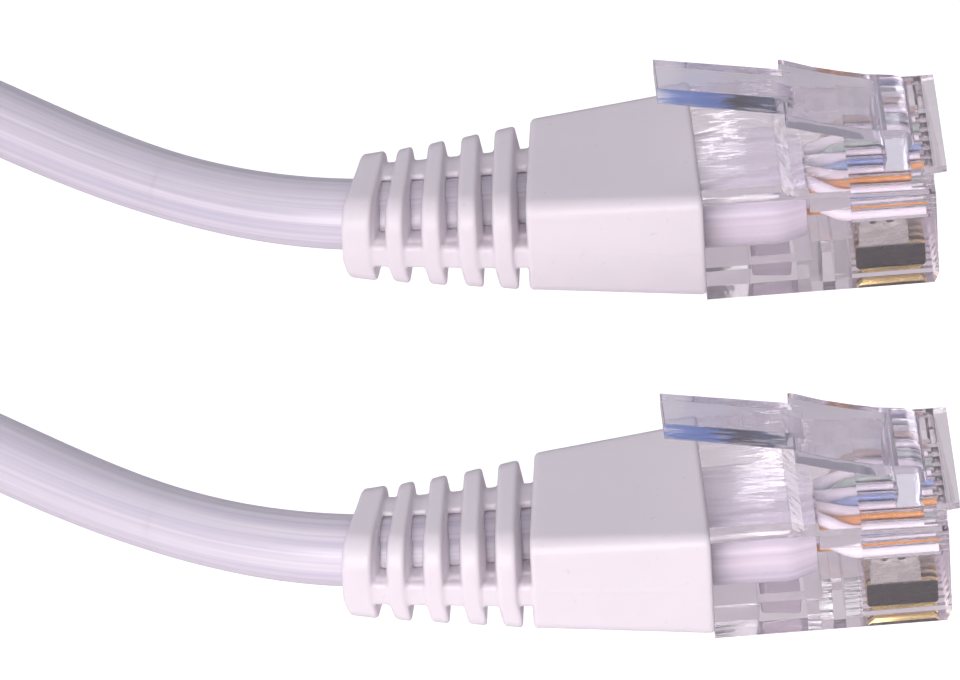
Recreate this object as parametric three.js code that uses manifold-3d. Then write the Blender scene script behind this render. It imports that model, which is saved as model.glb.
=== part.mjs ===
// Ethernet patch cable, nominal length 0.25 m: two clear 8P8C plugs with moulded, ribbed
// strain-relief boots, joined by one round four-pair cable that lies in a flat loop.
// Millimetres, +Z up. Origin: centre of plug A's front face. Both plugs point along +X,
// latch up, and lie side by side; plug B is plug A shifted by PLUG_B_SHIFT.
import * as THREE from 'three';
import { mergeVertices } from 'three/addons/utils/BufferGeometryUtils.js';
import Module from 'manifold-3d';

const wasm = await Module();
wasm.setup();
const { degToRad, lerp, mapLinear, smoothstep } = THREE.MathUtils;

// ---------------------------------------------------------------- shared dimensions
const PLUG_B_SHIFT = [-2.287, -36.192, 0];
const BODY_LENGTH = 15.1;        // front face to the boot
const TAIL = { x: -20.7, width: 9.5, z0: -2.75, z1: 3.2 };   // rear end, inside the boot
const LATCH_WIDTH = 6.23;
const CONTACT_PITCH = 1.02;
const CONTACT_Y = Array.from({ length: 8 }, (_, i) => (i - 3.5) * CONTACT_PITCH);
const SLOT_X0 = -5.6;            // rear end of the contact slots
const CHANNEL_Z = [0.3, 1.3];    // conductor channel, bottom and top
const CABLE_Z = 0.35;            // centre of the cable in the plug, above mid-height
const JACKET_R = 2.33;
const JACKET_INNER_R = 1.75;
const JACKET_SIDES = 16;
const BOOT_X0 = -BODY_LENGTH;    // boot block, front
const BOOT_X1 = -26;             // boot block, rear; the cable run starts here

// ---------------------------------------------------------------- cable run
// [distance from the boot block, curvature of the centreline in degrees per mm], curvature
// positive to the left seen from above, walking away from plug A
const RUN = [
  [0, 0.3777], [11.45, -2.7343], [37.45, 0.4079], [42.45, 0.2654], [48.45, 0.2654],
  [62.45, 2.9], [125.833, 2.9], [139.833, -3.1306], [145.833, -3.1306], [150.833, 0],
  [153.656, 0], [158.656, -0.4079], [184.656, 2.7343], [196.106, -0.3777],
];
const RUN_LENGTH = RUN.at(-1)[0];
// bend points, distances s along the run; axis 'z' bends sideways, 'y' lifts
const PIVOTS = [
  { s: 13.6, axis: 'z', deg: 22 },
  { s: 36, axis: 'y', deg: 14 },
  { s: 57, axis: 'z', deg: 34 },
  { s: 78, axis: 'z', deg: 60 },
  { s: 99, axis: 'z', deg: 60 },
  { s: 120, axis: 'z', deg: 60 },
  { s: 141, axis: 'z', deg: 36 },
  { s: RUN_LENGTH - 36, axis: 'y', deg: 14 },
  { s: RUN_LENGTH - 13.6, axis: 'z', deg: 22 },
];
const REST_Z = -1.7;             // centre of the cable where it lies on the table
const SAG_START = 5;             // distance from either boot block where it starts to drop
const SAG_LENGTH = 34;
const TRACE_STEP = 0.05;         // nominal integration step of the centreline

function traceCentreline() {
  const count = Math.round(RUN_LENGTH / TRACE_STEP);
  const step = RUN_LENGTH / count;
  const points = [[BOOT_X1, 0]];
  const headings = [Math.PI];
  for (let i = 0; i < count; i++) {
    const s = (i + 0.5) * step;
    const next = RUN.findIndex(([distance]) => distance >= s);
    const [s0, curvature0] = RUN[next - 1];
    const [s1, curvature1] = RUN[next];
    const turn = degToRad(mapLinear(s, s0, s1, curvature0, curvature1)) * step;
    const middle = headings[i] + turn / 2;
    const [x, y] = points[i];
    points.push([x + Math.cos(middle) * step, y + Math.sin(middle) * step]);
    headings.push(headings[i] + turn);
  }
  return { count, step, points, headings };
}
const centreline = traceCentreline();

// Stations are { point, heading in radians, map?, ahead? }; sweep() explains the last two.
// station inside the plug or boot block, looking to the rear
const plugStation = (x, y, z, map) => ({ point: [x, y, z], heading: Math.PI, map });

// station on the centreline at distance s; straight ahead of the boot block's rear end
function cableStation(s) {
  if (s <= 0) return plugStation(BOOT_X1 - s, 0, CABLE_Z);
  const { count, step, points, headings } = centreline;
  const position = Math.min(s / step, count);
  const i = Math.min(Math.floor(position), count - 1);
  const part = position - i;
  const fromEnd = Math.min(s, RUN_LENGTH - s);
  const drop = smoothstep(fromEnd, SAG_START, SAG_START + SAG_LENGTH);
  return {
    point: [
      lerp(points[i][0], points[i + 1][0], part),
      lerp(points[i][1], points[i + 1][1], part),
      lerp(CABLE_Z, REST_Z, drop),
    ],
    heading: lerp(headings[i], headings[i + 1], part),
  };
}

// ---------------------------------------------------------------- geometry helpers
// indexed geometry with shared corners
function welded(source) {
  source.deleteAttribute('normal');
  source.deleteAttribute('uv');
  const merged = mergeVertices(source, 1e-4);
  merged.clearGroups();
  return merged;
}

function solid(source) {
  const { attributes, index } = welded(source);
  return new wasm.Manifold(new wasm.Mesh({
    numProp: 3,
    vertProperties: new Float32Array(attributes.position.array),
    triVerts: new Uint32Array(index.array),
  }));
}

function solidGeometry(manifold) {
  const mesh = manifold.getMesh();
  const result = new THREE.BufferGeometry();
  const positions = new Float32Array(mesh.vertProperties);
  result.setAttribute('position', new THREE.BufferAttribute(positions, 3));
  result.setIndex(new THREE.BufferAttribute(new Uint32Array(mesh.triVerts), 1));
  result.computeVertexNormals();
  return result;
}

// range of a given width about a centre
const across = (width, y = 0) => [y - width / 2, y + width / 2];

// box from its ranges [low, high]
const box = ([x0, x1], [y0, y1], [z0, z1]) =>
  new THREE.BoxGeometry(x1 - x0, y1 - y0, z1 - z0)
    .translate((x0 + x1) / 2, (y0 + y1) / 2, (z0 + z1) / 2);

// profile [[x, z], ...] extruded along Y to a width, centred on y
const slab = (profile, width, y = 0) => {
  const shape = new THREE.Shape(profile.map(([x, z]) => new THREE.Vector2(x, z)));
  return new THREE.ExtrudeGeometry(shape, { depth: width, bevelEnabled: false })
    .rotateX(Math.PI / 2)
    .translate(0, y + width / 2, 0);
};
const solidBox = (...ranges) => solid(box(...ranges));
const solidSlab = (...sizes) => solid(slab(...sizes));

const polar = (radius, angle) =>
  new THREE.Vector2(radius * Math.cos(angle), radius * Math.sin(angle));
// closed polygon; radiusAt(i) is the radius of corner i
const polygon = (sides, radiusAt) =>
  Array.from({ length: sides }, (_, i) => polar(radiusAt(i), 2 * Math.PI * i / sides));
const disc = (sides, radius) => new THREE.Shape(polygon(sides, () => radius));
function jacketShape() {
  const shape = disc(JACKET_SIDES, JACKET_R);
  shape.holes.push(new THREE.Path(polygon(JACKET_SIDES, () => JACKET_INNER_R)));
  return shape;
}

// Section swept along stations: section x lies to the left of the heading, section y up.
// map(left, up) reshapes the section; ahead(left, up) shifts its points along the heading.
function sweep(shape, stations) {
  const steps = stations.length - 1;
  const swept = new THREE.ExtrudeGeometry(shape, { depth: steps, steps, bevelEnabled: false });
  const vertices = swept.attributes.position;
  for (let i = 0; i < vertices.count; i++) {
    const { point: [x, y, z], heading, map, ahead } = stations[Math.round(vertices.getZ(i))];
    const flat = [vertices.getX(i), vertices.getY(i)];
    const forward = ahead ? ahead(...flat) : 0;
    const [left, up] = map ? map(...flat) : flat;
    const cos = Math.cos(heading);
    const sin = Math.sin(heading);
    vertices.setXYZ(i, x - sin * left + cos * forward, y + cos * left + sin * forward, z + up);
  }
  return swept;
}

// A jacket end beside a bend point is notched so that its neighbour can turn;
// direction is 1 at the start of a piece and -1 at its end.
const bendSlope = ({ deg }) => Math.tan(degToRad(deg / 2));
const notch = (pivot, direction) => (left, up) =>
  direction * bendSlope(pivot) * Math.abs(pivot.axis === 'z' ? left : up);

// ---------------------------------------------------------------- materials
const MATERIALS = {
  housing: { color: 0xd6d2da, roughness: 0.08, transparent: true, opacity: 0.35 },
  boot: { color: 0xe4dfe8, roughness: 0.5 },
  jacket: { color: 0xe2dfea, roughness: 0.38 },
  contact: { color: 0xc9a24a, roughness: 0.25, metalness: 1 },
  pairs: { color: 0xb9a58c, roughness: 0.5 },
};
const WIRE_ROUGHNESS = 0.4;
const WIRES = [
  ['white_orange', 0xf0c9a0], ['orange', 0xe07a1c], ['white_green', 0xc5dcc4],
  ['blue', 0x2f6fc0], ['white_blue', 0xbcd0e8], ['green', 0x2f8f4a],
  ['white_brown', 0xd2bfae], ['brown', 0x7a4a2a],
];

function addMesh(parent, name, geometry, material) {
  const mesh = new THREE.Mesh(geometry, new THREE.MeshStandardMaterial(material));
  mesh.name = name;
  parent.add(mesh);
  return mesh;
}

// ---------------------------------------------------------------- housing
const BODY_WIDTH = 11.68;
const BODY_HEIGHT = 8.1;
const NOSE_WIDTH = 10.2;
const SLOT_WIDTH = 0.5;
const SLOT_TOP = 0.35;
const CAVITY_X1 = -8.15;         // front ends of the cable cavity, guide and channel
const CAVITY_Z0 = -2.2;
const GUIDE_X1 = -5.45;
const CHANNEL_X1 = -0.4;
const OVERLAP = 0.5;             // by which neighbouring blocks or cuts run into each other
const BELOW = -5;                // clear of the underside
const CUT_WIDTH = BODY_WIDTH + 2;
// profiles [x, z]
const TOP_CUT = [                // the top drops towards the nose
  [-9.9, 4.06], [-9.1, 3.38], [0, 2.98], [0.5, 2.96], [0.5, 5], [-9.9, 5],
];
const NOSE = [                   // raised nose with a lip over the front face
  [-1.5, 2.5], [-0.02, 2.5], [-0.02, 4.05], [0.8, 4.15], [0.8, 4.6], [-1.5, 4.6],
];
const LATCH_POST = [[-3.1, 2.9], [-1.6, 2.9], [-1.6, 4.85], [-2.9, 4.85]];
const FRONT_CHAMFER = [[-0.7, BELOW], [1, BELOW], [1, -3.3], [0, -3.35]];

function housing() {
  const body = solidBox([-BODY_LENGTH, 0], across(BODY_WIDTH), across(BODY_HEIGHT))
    .add(solidBox([TAIL.x, -BODY_LENGTH + OVERLAP], across(TAIL.width), [TAIL.z0, TAIL.z1]))
    .subtract(solidSlab(TOP_CUT, CUT_WIDTH))
    .add(solidSlab(NOSE, NOSE_WIDTH))
    .add(solidSlab(LATCH_POST, LATCH_WIDTH));
  const cuts = [
    // cable cavity, wire guide, conductor channel
    solidBox([TAIL.x - 1, CAVITY_X1], across(8.4), [CAVITY_Z0, 2.75]),
    solidBox([CAVITY_X1 - OVERLAP, GUIDE_X1], across(8.3), [-0.75, 1.6]),
    solidBox([GUIDE_X1 - OVERLAP, CHANNEL_X1], across(8.24), CHANNEL_Z),
    // contact slots, open below and in front
    ...CONTACT_Y.map((y) => solidBox([SLOT_X0, 1], across(SLOT_WIDTH, y), [BELOW, SLOT_TOP])),
    // window for the jacket clamp, and the groove behind the contacts
    solidBox([-12.3, -9.1], across(6.6), [BELOW, CAVITY_Z0 + 0.2]),
    solidBox([-7.5, -6.7], across(8.2), [BELOW, -1.7]),
    // chamfered lower front edge
    solidSlab(FRONT_CHAMFER, CUT_WIDTH),
  ];
  return solidGeometry(cuts.reduce((rest, cut) => rest.subtract(cut), body));
}

// ---------------------------------------------------------------- latch, clamp, contacts
const TAB_WIDTH = 3.25;
const CLAMP_WIDTH = 6;
const BLADE_THICKNESS = 0.35;
// profiles [x, z]
const LATCH_PLATE = [            // wide ramped plate
  [-2.9, 5.35], [-3.7, 5.57], [-5.3, 5.96], [-7.2, 6.5], [-9.35, 7.2], [-9.35, 8.13],
  [-9.1, 8.13], [-7.2, 7.4], [-5.3, 6.86], [-3.7, 6.47], [-2.0, 6.25], [-1.3, 5.95],
  [-1.3, 5.2],
];
const LATCH_TAB = [              // narrow release tab
  [-8.9, 8.25], [-9.6, 8.5], [-17.5, 10], [-17.5, 8.8], [-9.6, 7.2], [-8.9, 7.05],
];
const CLAMP = [[-12, -3.7], [-9.5, -3.95], [-9.4, -2.75], [-11.6, -2.3], [-12, -2.6]];
const BLADE = [                  // chamfered lower corners and three piercing teeth
  [-5.3, -3.3], [-4.85, -3.75], [-1.2, -3.75], [-0.76, -3.3], [-0.76, -1.6], [-1.8, -1.6],
  [-1.9, -0.5], [-2.3, 0.22], [-2.8, -0.5], [-3.1, -0.5], [-3.5, 0.22], [-3.9, -0.5],
  [-4.25, -0.5], [-4.7, 0.22], [-5.05, -0.5], [-5.05, -1.6], [-5.3, -1.6],
];

const latch = () =>
  solidGeometry(solidSlab(LATCH_PLATE, LATCH_WIDTH).add(solidSlab(LATCH_TAB, TAB_WIDTH)));
// wedge pressed up against the jacket
const jacketClamp = () => welded(slab(CLAMP, CLAMP_WIDTH));
const contact = (y) => welded(slab(BLADE, BLADE_THICKNESS, y));

// ---------------------------------------------------------------- conductors
const WIRE_DIAMETER = 0.9;
const WIRE_SIDES = 6;
const WIRE_X1 = -0.55;           // front end
const ROW_Z = (CHANNEL_Z[0] + CHANNEL_Z[1]) / 2;
const FAN_LENGTH = 3.2;          // from the flat row to the jacket mouth
const MOUTH_PITCH = 0.5;
const MOUTH_OFFSET = 0.55;       // of the two staggered layers, above and below CABLE_Z
const BUNDLE_R = 1.12;           // circle of seven wires around one
const BUNDLE_START = 107.143;    // degrees, place 0 on that circle
const BUNDLE_PLACES = [1, 2, 0, 3, 'centre', 4, 6, 5];   // of each wire in turn
const squeezed = (left, up) => [left * 0.88, up * 0.88];

// a flat row over the contacts, then two staggered layers at the jacket mouth, then a
// round bundle inside the jacket
function conductor(i) {
  const place = BUNDLE_PLACES[i];
  const { x: bundleY, y: bundleZ } = place === 'centre'
    ? new THREE.Vector2(0, 0)
    : polar(BUNDLE_R, degToRad(BUNDLE_START + 360 * place / 7));
  const row = [CONTACT_Y[i], ROW_Z];
  const mouth = [(i - 3.5) * MOUTH_PITCH, CABLE_Z + (i % 2 ? -MOUTH_OFFSET : MOUTH_OFFSET)];
  const bundle = [bundleY, CABLE_Z + bundleZ];
  const between = (from, to, t) => [lerp(from[0], to[0], t), lerp(from[1], to[1], t)];
  const stations = [
    plugStation(WIRE_X1, ...row),
    plugStation(SLOT_X0, ...row),
    ...[1 / 3, 2 / 3, 1].map((t) =>
      plugStation(SLOT_X0 - FAN_LENGTH * t, ...between(row, mouth, smoothstep(t, 0, 1)))),
    plugStation(-11.2, ...between(mouth, bundle, 0.5), squeezed),
    plugStation(-13.2, ...bundle, squeezed),
    plugStation(BOOT_X1, ...bundle, squeezed),
  ];
  for (const s of [4, 7, 10, 13]) {
    const { point: [x, y, z], heading } = cableStation(s);
    stations.push({
      point: [x + Math.sin(heading) * bundleY, y - Math.cos(heading) * bundleY, z + bundleZ],
      heading,
      map: squeezed,
    });
  }
  return welded(sweep(disc(WIRE_SIDES, WIRE_DIAMETER / 2), stations));
}

// ---------------------------------------------------------------- jacket end
// half width and half height of the oval mouth
const MOUTH_OUTER = [3.2, 1.95];
const MOUTH_INNER = [2.75, 1.45];
// [x, ovalness]: 1 is the full oval, 0 is round
const MOUTH_STATIONS = [[-8.3, 1], [-9.6, 0.85], [-11, 0.4], [-12.6, 0], [BOOT_X1, 0]];
const END_GAP = 0.12;            // between the jacket end and the first bend point

const oval = (ovalness) => (left, up) => {
  const isOuter = Math.hypot(left, up) > (JACKET_R + JACKET_INNER_R) / 2;
  const [halfWidth, halfHeight] = isOuter ? MOUTH_OUTER : MOUTH_INNER;
  const radius = isOuter ? JACKET_R : JACKET_INNER_R;
  return [
    left * lerp(1, halfWidth / radius, ovalness),
    up * lerp(1, halfHeight / radius, ovalness),
  ];
};

function jacketEnd() {
  const pivot = PIVOTS[0];
  return welded(sweep(jacketShape(), [
    ...MOUTH_STATIONS.map(([x, ovalness]) => plugStation(x, 0, CABLE_Z, oval(ovalness))),
    ...[3, 5.5, 8, 10.5].map(cableStation),
    { ...cableStation(pivot.s - END_GAP), ahead: notch(pivot, -1) },
  ]));
}

// ---------------------------------------------------------------- boot
const BORE_R = JACKET_R + 0.09;
const BORE_STATIONS = [-5.5, 0, 3, 5.5, 8, 10.5, 13];   // distances along the run
const RIB_CORNER = 1.5;
const SLEEVE_CORNER = 2;
// from the block rearwards: gap before the rib, rib length, [width, height] of rib and sleeve
const RIBS = [
  { gap: 0.80, length: 1.50, rib: [10.3, 6.80], sleeve: [7.4, 5.70] },
  { gap: 0.80, length: 1.40, rib: [9.6, 6.55], sleeve: [7.2, 5.55] },
  { gap: 0.90, length: 1.33, rib: [8.85, 6.40], sleeve: [7.0, 5.40] },
  { gap: 0.90, length: 1.25, rib: [8.35, 6.10], sleeve: [6.9, 5.30] },
  { gap: 0.94, length: 1.63, rib: [7.9, 5.85], sleeve: [6.7, 5.20] },
];
// [Y range, Z range] of the two windows in a groove, diagonally opposite
const WINDOWS = [
  [[-6, 0.4], [0, 5]],
  [[-0.4, 6], [-5, 0]],
];

// unit circle that stays clear of the axes, so that rounded() can part its quarters
const quarteredCircle = () => new THREE.Shape([0, 90, 180, 270].flatMap((start) =>
  [0.5, 22.5, 45, 67.5, 89.5].map((angle) => polar(1, degToRad(start + angle)))));
// maps the unit circle to a rounded rectangle
const rounded = (width, height, corner) => (left, up) => [
  Math.sign(left) * (width / 2 - corner) + corner * left,
  Math.sign(up) * (height / 2 - corner) + corner * up,
];

// tapered block, then five ribs over a slimmer sleeve with windows in every groove
function boot() {
  const stations = [
    plugStation(BOOT_X0, 0, CABLE_Z, rounded(13, 7.8, 0.8)),
    plugStation(BOOT_X1, 0, CABLE_Z, rounded(10.4, 7, 1)),
  ];
  const windows = [];
  let s = 0;
  for (const { gap, length, rib, sleeve } of RIBS) {
    const sleeveMap = rounded(...sleeve, SLEEVE_CORNER);
    const ribMap = rounded(...rib, RIB_CORNER);
    stations.push(
      { ...cableStation(s), map: sleeveMap },
      { ...cableStation(s + gap), map: sleeveMap },
      { ...cableStation(s + gap), map: ribMap },
      { ...cableStation(s + gap + length), map: ribMap },
    );
    const { point, heading } = cableStation(s + gap / 2);
    for (const [yRange, zRange] of WINDOWS) {
      windows.push(solid(box(across(gap), yRange, zRange)
        .rotateZ(heading - Math.PI)
        .translate(...point)));
    }
    s += gap + length;
  }
  // pocket around the housing tail
  const pocket = solidBox(
    [TAIL.x - 0.5, BOOT_X0 + 1],
    across(TAIL.width + 0.6),
    [TAIL.z0 - 0.2, TAIL.z1 + 0.2],
  );
  const bore = solid(sweep(disc(JACKET_SIDES, BORE_R), BORE_STATIONS.map(cableStation)));
  return solidGeometry([pocket, bore, ...windows]
    .reduce((rest, cut) => rest.subtract(cut), solid(sweep(quarteredCircle(), stations))));
}

// ---------------------------------------------------------------- cable links
const LINK_STEPS = 7;
const LINK_GAP = 0.16;           // from a bend point to the link's jacket
const NOTCH_CLEARANCE = 1.9;     // keeps the inner rings off the deepest notch
const CORE_GAP = 0.25;           // from a bend point to the core, plus the bend's share
const CORE_REACH = 1.55;         // radius that share is worked out for
const CORE_RADII = [1.5, 1.36, 1.02, 1.36];   // repeated four times round the core
const CORE_TWIST_PITCH = 60;     // length of one full turn

// tube between two bend points
function linkJacket(from, to) {
  const inner = Array.from({ length: LINK_STEPS - 1 }, (_, i) => cableStation(lerp(
    from.s + NOTCH_CLEARANCE, to.s - NOTCH_CLEARANCE, i / (LINK_STEPS - 2))));
  return welded(sweep(jacketShape(), [
    { ...cableStation(from.s + LINK_GAP), ahead: notch(from, 1) },
    ...inner,
    { ...cableStation(to.s - LINK_GAP), ahead: notch(to, -1) },
  ]));
}

// twisted four-lobed core inside the tube
function linkCore(from, to) {
  const start = from.s + CORE_GAP + CORE_REACH * bendSlope(from);
  const end = to.s - CORE_GAP - CORE_REACH * bendSlope(to);
  const stations = Array.from({ length: LINK_STEPS + 1 }, (_, i) => {
    const s = lerp(start, end, i / LINK_STEPS);
    const twist = 2 * Math.PI * s / CORE_TWIST_PITCH;
    const cos = Math.cos(twist);
    const sin = Math.sin(twist);
    return {
      ...cableStation(s),
      map: (left, up) => [left * cos - up * sin, left * sin + up * cos],
    };
  });
  return welded(sweep(new THREE.Shape(polygon(16, (i) => CORE_RADII[i % 4])), stations));
}

// ---------------------------------------------------------------- assembly
function cableEnd(end, shift) {
  const group = new THREE.Group();
  group.position.set(...shift);
  const add = (name, geometry, material) =>
    addMesh(group, `${name}_${end}`, geometry, material);
  add('housing', housing(), MATERIALS.housing);
  add('latch', latch(), MATERIALS.housing);
  add('jacket_clamp', jacketClamp(), MATERIALS.housing);
  CONTACT_Y.forEach((y, i) => add(`contact_${i + 1}`, contact(y), MATERIALS.contact));
  WIRES.forEach(([name, color], i) =>
    add(`conductor_${i + 1}_${name}`, conductor(i), { color, roughness: WIRE_ROUGHNESS }));
  add('jacket_end', jacketEnd(), MATERIALS.jacket);
  add('boot', boot(), MATERIALS.boot);
  return group;
}

const cable = new THREE.Group();
cable.name = 'ethernet_patch_cable';
cable.add(cableEnd('a', [0, 0, 0]), cableEnd('b', PLUG_B_SHIFT));
for (let i = 1; i < PIVOTS.length; i++) {
  const from = PIVOTS[i - 1];
  const to = PIVOTS[i];
  // each link has its origin on the centreline, midway between its bend points
  const [x, y, z] = cableStation((from.s + to.s) / 2).point;
  const addLink = (name, geometry, material) =>
    addMesh(cable, `${name}_link_${i}`, geometry.translate(-x, -y, -z), material)
      .position.set(x, y, z);
  addLink('jacket', linkJacket(from, to), MATERIALS.jacket);
  addLink('pairs', linkCore(from, to), MATERIALS.pairs);
}

export default cable;
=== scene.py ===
"""Ethernet patch cable: two clear plugs with ribbed boots, joined by one looped cable.

Plug A's nose is at the origin and faces +X, with its latch on top (+Z) and the contacts' edges
below. Plug B lies beside it towards -Y and faces the same way. The cable leaves plug A towards
-X and turns left, back into plug B. Shapes are in mm; the stage at the end is in metres.
"""
import math
from contextlib import contextmanager
from itertools import product

import bmesh
import bpy
import numpy as np
from mathutils import Matrix, Vector


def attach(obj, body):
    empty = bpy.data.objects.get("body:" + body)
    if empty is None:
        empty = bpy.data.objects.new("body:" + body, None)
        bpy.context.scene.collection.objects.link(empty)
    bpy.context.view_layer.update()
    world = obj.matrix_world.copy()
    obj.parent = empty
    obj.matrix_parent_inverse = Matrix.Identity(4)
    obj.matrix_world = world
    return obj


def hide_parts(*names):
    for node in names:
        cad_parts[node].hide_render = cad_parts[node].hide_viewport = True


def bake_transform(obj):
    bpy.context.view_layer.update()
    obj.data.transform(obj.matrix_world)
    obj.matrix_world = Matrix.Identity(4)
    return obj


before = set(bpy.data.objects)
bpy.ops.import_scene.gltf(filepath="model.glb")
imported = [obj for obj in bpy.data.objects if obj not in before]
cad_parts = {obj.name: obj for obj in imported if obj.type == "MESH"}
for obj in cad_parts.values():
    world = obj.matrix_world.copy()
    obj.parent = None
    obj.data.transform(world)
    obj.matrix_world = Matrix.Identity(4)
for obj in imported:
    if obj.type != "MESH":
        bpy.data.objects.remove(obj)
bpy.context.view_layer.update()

MM = 0.001

# plug B's place relative to plug A
SHIFT = {"a": np.array([0.0, 0.0, 0.0]), "b": np.array([-2.287, -36.192, 0.0])}
PITCH = 1.02                                        # between neighbouring contacts
LANE_Y = [(i - 3.5) * PITCH for i in range(8)]
ROW_Z = 0.8                                         # height of the row of wires in the plug
CABLE_Z, REST_Z = 0.35, -1.7                        # cable's centre at the plugs, and mid-run
JACKET_RADIUS, JACKET_BORE = 2.33, 1.75
BLOCK_REAR_X = -26.0                                # rear of the boot's block, where s = 0

# ribs of the boot, from the block rearwards: groove before it, rib length, width, height
RIBS = [
    (0.80, 1.50, 10.3, 6.80),
    (0.80, 1.40, 9.60, 6.55),
    (0.90, 1.33, 8.85, 6.40),
    (0.90, 1.25, 8.35, 6.10),
    (0.68, 1.89, 7.90, 5.85),
]
NECK_LENGTH = sum(groove + length for groove, length, _, _ in RIBS)

# cable's run between the boot blocks: distance s, left-hand curvature in degrees per mm
RUN = [
    (0, 0.3777), (11.45, -2.7343), (37.45, 0.4079), (42.45, 0.2654), (48.45, 0.2654),
    (62.45, 2.9), (125.833, 2.9), (139.833, -3.1306), (145.833, -3.1306), (150.833, 0),
    (153.656, 0), (158.656, -0.4079), (184.656, 2.7343), (196.106, -0.3777),
]
RUN_LENGTH = RUN[-1][0]

# distances of the joints between neighbouring bodies of the chain
PIVOTS = [13.6, 36, 57, 78, 99, 120, 141, RUN_LENGTH - 36, RUN_LENGTH - 13.6]
WIRES = ["white_orange", "orange", "white_green", "blue",
         "white_blue", "green", "white_brown", "brown"]


# ------------------------------------------------------------------ small maths
def lerp(a, b, t):
    return a + (b - a) * t


def smoothstep(t):
    t = np.clip(t, 0, 1)
    return t * t * (3 - 2 * t)


# ------------------------------------------------------------------ centreline
def integrate_run(step=0.05):
    """distances, x, y and headings along the run, from its curvature"""
    count = round(RUN_LENGTH / step)
    step = RUN_LENGTH / count
    stations, degrees = zip(*RUN)
    curvature = np.radians(np.interp((np.arange(count) + 0.5) * step, stations, degrees))
    heading = np.pi + np.concatenate([[0], np.cumsum(curvature) * step])
    middle = (heading[1:] + heading[:-1]) / 2
    x = BLOCK_REAR_X + np.concatenate([[0], np.cumsum(np.cos(middle)) * step])
    y = np.concatenate([[0], np.cumsum(np.sin(middle)) * step])
    return np.linspace(0, RUN_LENGTH, count + 1), x, y, heading


RUN_S, RUN_X, RUN_Y, RUN_HEADING = integrate_run()


def sag(s):
    """height of the centreline: it eases down to REST_Z from 5 to 39 mm behind each block"""
    return CABLE_Z + (REST_Z - CABLE_Z) * smoothstep((np.minimum(s, RUN_LENGTH - s) - 5) / 34)


def at(s):
    """centreline points (n, 3) and headings (n,) at distances s; straight inside the blocks"""
    s = np.atleast_1d(np.asarray(s, float))
    x = np.where(s < 0, BLOCK_REAR_X - s, np.interp(s, RUN_S, RUN_X))
    y = np.where(s < 0, 0.0, np.interp(s, RUN_S, RUN_Y))
    past = s > RUN_LENGTH
    x = np.where(past, RUN_X[-1] + (s - RUN_LENGTH), x)
    y = np.where(past, RUN_Y[-1], y)
    points = np.stack([x, y, sag(np.clip(s, 0, RUN_LENGTH))], 1)
    return points, np.interp(s, RUN_S, RUN_HEADING)


def along(s, left, up):
    """points at distance s, offset to the left of the heading and up"""
    centre, heading = at(s)
    left, up = np.asarray(left, float), np.asarray(up, float)
    return np.stack([centre[:, 0] - np.sin(heading) * left,
                     centre[:, 1] + np.cos(heading) * left,
                     centre[:, 2] + up], 1)


def frames(heading):
    """unit vectors to the left of each heading, and up"""
    left = np.stack([-np.sin(heading), np.cos(heading), np.zeros_like(heading)], 1)
    return left, np.tile([0.0, 0.0, 1.0], (len(heading), 1))


# ------------------------------------------------------------------ mesh helpers
@contextmanager
def editing(o):
    """the object's mesh as a bmesh, written back afterwards"""
    bm = bmesh.new()
    bm.from_mesh(o.data)
    yield bm
    bm.to_mesh(o.data)
    bm.free()


def make(name, verts, faces, uvs=None, mats=(), smooth=True):
    me = bpy.data.meshes.new(name)
    me.from_pydata((np.asarray(verts) * MM).tolist(), [], [list(map(int, f)) for f in faces])
    me.update()
    if uvs is not None:
        layer = me.uv_layers.new(name="UVMap")
        layer.data.foreach_set("uv", np.asarray(uvs, np.float32).ravel())
    for m in mats:
        me.materials.append(m)
    me.polygons.foreach_set("use_smooth", np.full(len(me.polygons), smooth))
    o = bpy.data.objects.new(name, me)
    bpy.context.scene.collection.objects.link(o)
    me.update()
    return o


def discard(o):
    me = o.data
    bpy.data.objects.remove(o)
    bpy.data.meshes.remove(me)


def set_materials(o, mats):
    o.data.materials.clear()
    for m in mats:
        o.data.materials.append(m)


def shade_smooth(o):
    o.data.polygons.foreach_set("use_smooth", np.full(len(o.data.polygons), True))


def sharpen(o, degrees):
    """mark edges that bend by more than this angle as sharp"""
    limit = math.radians(degrees)
    with editing(o) as bm:
        for e in bm.edges:
            e.smooth = not (len(e.link_faces) == 2 and e.calc_face_angle(0) > limit)


def turn_outwards(bm):
    if bm.calc_volume(signed=True) < 0:
        bmesh.ops.reverse_faces(bm, faces=bm.faces)


def apply_mods(o):
    graph = bpy.context.evaluated_depsgraph_get()
    graph.update()
    me = bpy.data.meshes.new_from_object(o.evaluated_get(graph), depsgraph=graph)
    o.modifiers.clear()
    old = o.data
    o.data = me
    bpy.data.meshes.remove(old)
    return o


def join(target, *others):
    """append other meshes, materials and all, to the target"""
    mats = list(target.data.materials)
    with editing(target) as bm:
        for o in others:
            first = len(bm.faces)
            slots = []
            for m in o.data.materials:
                if m not in mats:
                    mats.append(m)
                slots.append(mats.index(m))
            bm.from_mesh(o.data)
            bm.faces.ensure_lookup_table()
            for f in bm.faces[first:]:
                f.material_index = slots[f.material_index]
            discard(o)
    set_materials(target, mats)
    return target


# Solids are (vertices, faces) pairs; solid() makes an object of one.
def box(x0, x1, z0, z1, width, y=0.0):
    v = [(a, b, c) for a in (x0, x1) for b in (y - width / 2, y + width / 2) for c in (z0, z1)]
    f = [(0, 1, 3, 2), (4, 6, 7, 5), (0, 4, 5, 1), (2, 3, 7, 6), (0, 2, 6, 4), (1, 5, 7, 3)]
    return v, f


def slab(profile, width):
    """profile of (x, z) points extruded along Y, centred on y = 0"""
    n = len(profile)
    v = [(x, side * width / 2, z) for side in (-1, 1) for x, z in profile]
    f = [tuple(range(n)), tuple(range(2 * n - 1, n - 1, -1))]
    f += [(i, i + n, (i + 1) % n + n, (i + 1) % n) for i in range(n)]
    return v, f


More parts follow.
